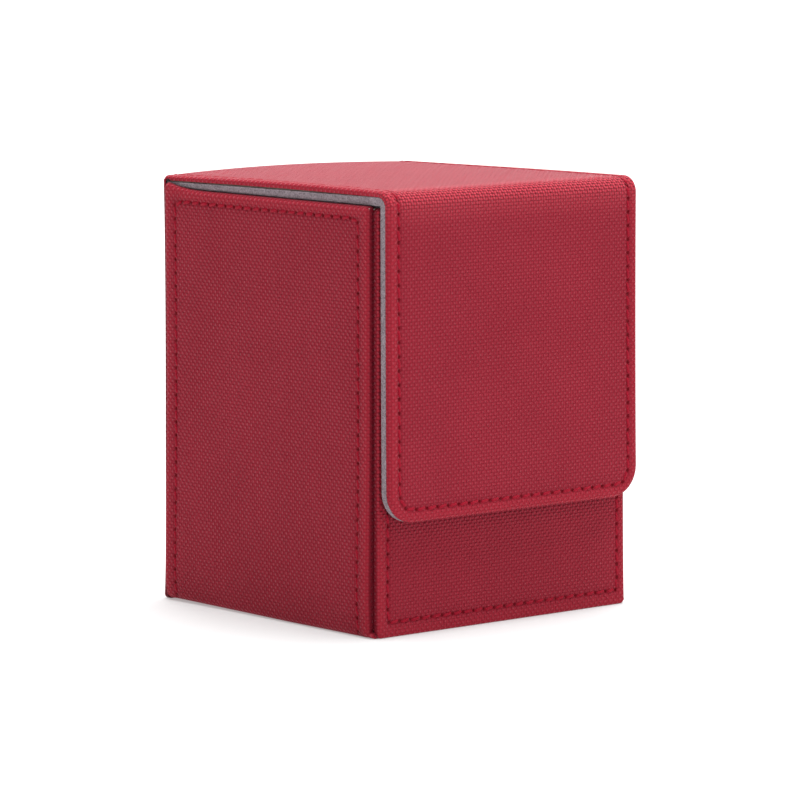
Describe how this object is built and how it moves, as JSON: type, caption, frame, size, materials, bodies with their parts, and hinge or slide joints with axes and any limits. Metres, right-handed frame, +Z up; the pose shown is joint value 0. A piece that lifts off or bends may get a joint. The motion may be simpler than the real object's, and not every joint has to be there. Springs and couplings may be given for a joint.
{
  "type": "card deck box",
  "caption": "Upright leatherette card box with a lid hinged along the back and a front flap held shut by hidden magnets, lined with grey microfibre.",
  "frame": {"origin": "centre of the base, on the surface that the box stands on", "axes": "+Z up, +Y from the front flap to the back hinge, +X to the right as seen from the front"},
  "size_m": [0.0788, 0.0816, 0.1014],
  "materials": {
    "leatherette": "woven emboss, satin",
    "microfibre": "short nap, matt",
    "greyboard": "matt board",
    "thread": "sewn polyester thread",
    "magnet": "nickel plated disc"
  },
  "bodies": {
    "box": {"base_skin": "leatherette", "base_board": "greyboard", "left_skin": "leatherette", "left_board": "greyboard", "right_skin": "leatherette", "right_board": "greyboard", "front_skin": "leatherette", "front_board": "greyboard", "back_skin": "leatherette", "back_board": "greyboard", "tray_floor": "greyboard", "tray_front": "greyboard", "tray_back": "greyboard", "tray_left": "greyboard", "tray_right": "greyboard", "floor_lining": "microfibre", "front_lining": "microfibre", "back_lining": "microfibre", "left_lining": "microfibre", "right_lining": "microfibre", "front_magnets": "magnet", "front_seam": "thread", "back_seam": "thread", "left_seam": "thread", "right_seam": "thread"},
    "spine": {"hinge_spine": "leatherette"},
    "lid": {"lid_skin": "leatherette", "lid_board": "greyboard", "lid_lining": "microfibre", "lid_inner_board": "greyboard", "lid_seam": "thread", "flap_fold_skin": "leatherette", "flap_fold_lining": "microfibre"},
    "flap": {"flap_skin": "leatherette", "flap_board": "greyboard", "flap_lining": "microfibre", "flap_inner_board": "greyboard", "flap_magnets": "magnet", "flap_seam": "thread"}
  },
  "joints": [
    {"name": "spine_fold", "type": "hinge", "parent": "box", "child": "spine", "pos_m": [0, 0.04075, 0.0979], "axis": [-1, 0, 0], "range_deg": [0, 107.5]},
    {"name": "lid_fold", "type": "hinge", "parent": "spine", "child": "lid", "pos_m": [0, 0.04075, 0.1014], "axis": [-1, 0, 0], "range_deg": [0, 107.5]},
    {"name": "flap_hinge", "type": "hinge", "parent": "lid", "child": "flap", "pos_m": [0, -0.03979, 0.10044], "axis": [-1, 0, 0], "range_deg": [0, 90], "deforming": ["flap_fold_skin", "flap_fold_lining"]}
  ],
  "couplings": [
    {"joint": "lid_fold", "follows": "spine_fold", "ratio": 1}
  ]
}
